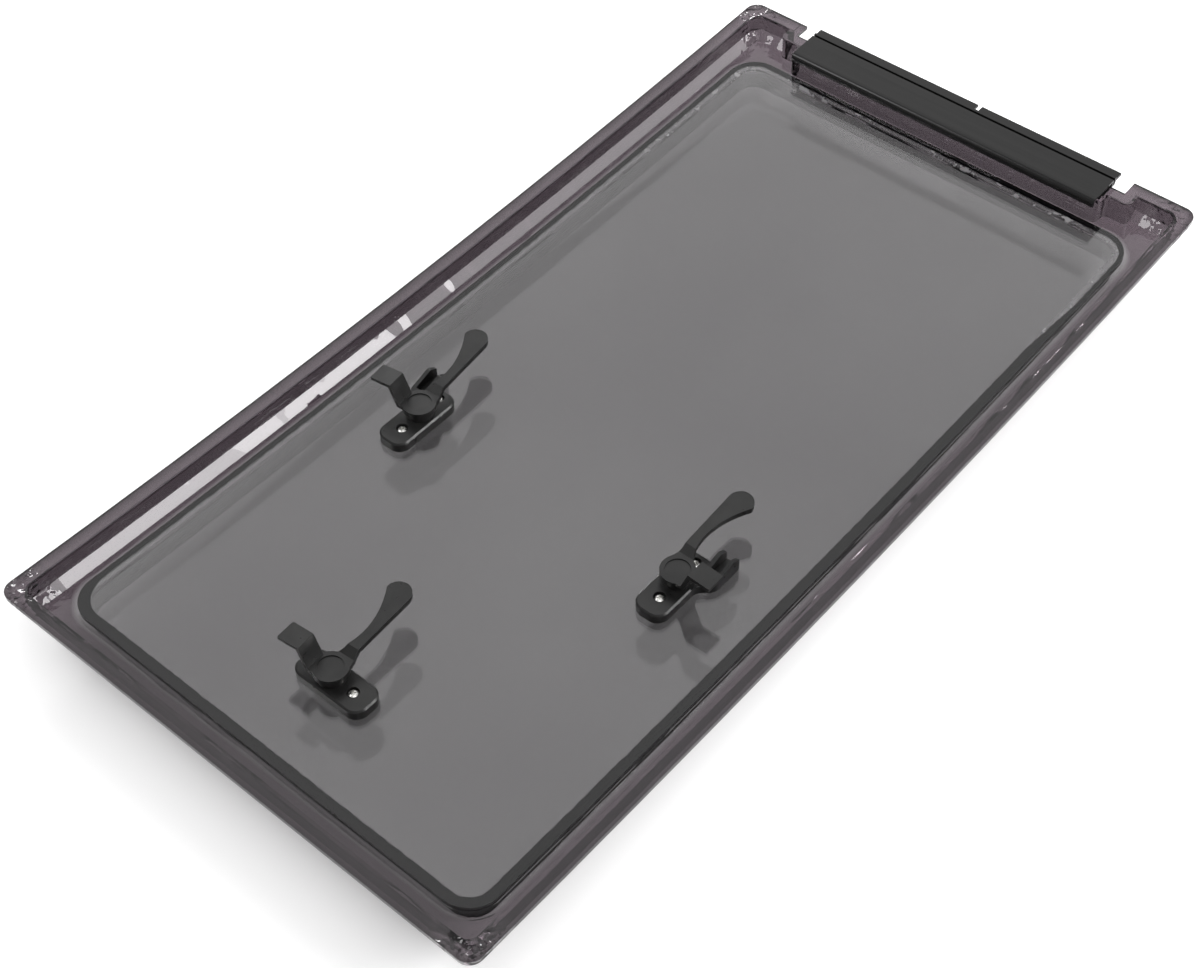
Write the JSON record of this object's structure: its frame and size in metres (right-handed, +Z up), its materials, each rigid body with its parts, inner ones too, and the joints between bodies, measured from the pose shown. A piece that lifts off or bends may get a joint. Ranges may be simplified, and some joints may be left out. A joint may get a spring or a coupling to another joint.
{
  "type": "hinged camper window",
  "caption": "Bowed double-skin smoked acrylic push-out window pane with a formed rim, a hook hinge rail along its top edge and quarter-turn catch levers on the room side.",
  "frame": {"origin": "middle of the part's outline at the street face it lies on", "axes": "+X across the pane, +Y along it towards the hinge, +Z up to the room side"},
  "size_m": [0.45, 0.8616, 0.0698],
  "materials": {
    "smoked_acrylic": "clear smoked grey, polished",
    "bond": "matt dark adhesive",
    "black_rail": "satin black extrusion",
    "black_plastic": "satin black moulding",
    "steel": "bright zinc plated"
  },
  "bodies": {
    "window": {"outer_pane": "smoked_acrylic", "inner_pane": "smoked_acrylic", "bond_seam": "bond", "hinge_rail": "black_rail", "hinge_hook": "black_rail", "left_catch_base": "black_plastic", "left_front_screw": "steel", "left_back_screw": "steel", "right_catch_base": "black_plastic", "right_front_screw": "steel", "right_back_screw": "steel", "bottom_catch_base": "black_plastic", "bottom_front_screw": "steel", "bottom_back_screw": "steel"},
    "left_lever": {"left_catch_lever": "black_plastic"},
    "right_lever": {"right_catch_lever": "black_plastic"},
    "bottom_lever": {"bottom_catch_lever": "black_plastic"}
  },
  "joints": [
    {"name": "left_catch_turn", "type": "hinge", "parent": "window", "child": "left_lever", "pos_m": [-0.1255, -0.11075, 0.02577], "axis": [0, -0.0139, -0.9999], "range_deg": [0, 90]},
    {"name": "right_catch_turn", "type": "hinge", "parent": "window", "child": "right_lever", "pos_m": [0.1255, -0.11075, 0.02577], "axis": [0, 0.0139, 0.9999], "range_deg": [0, 90]},
    {"name": "bottom_catch_turn", "type": "hinge", "parent": "window", "child": "bottom_lever", "pos_m": [0, -0.32775, 0.03174], "axis": [0, -0.0411, -0.9992], "range_deg": [-90, 0]}
  ]
}
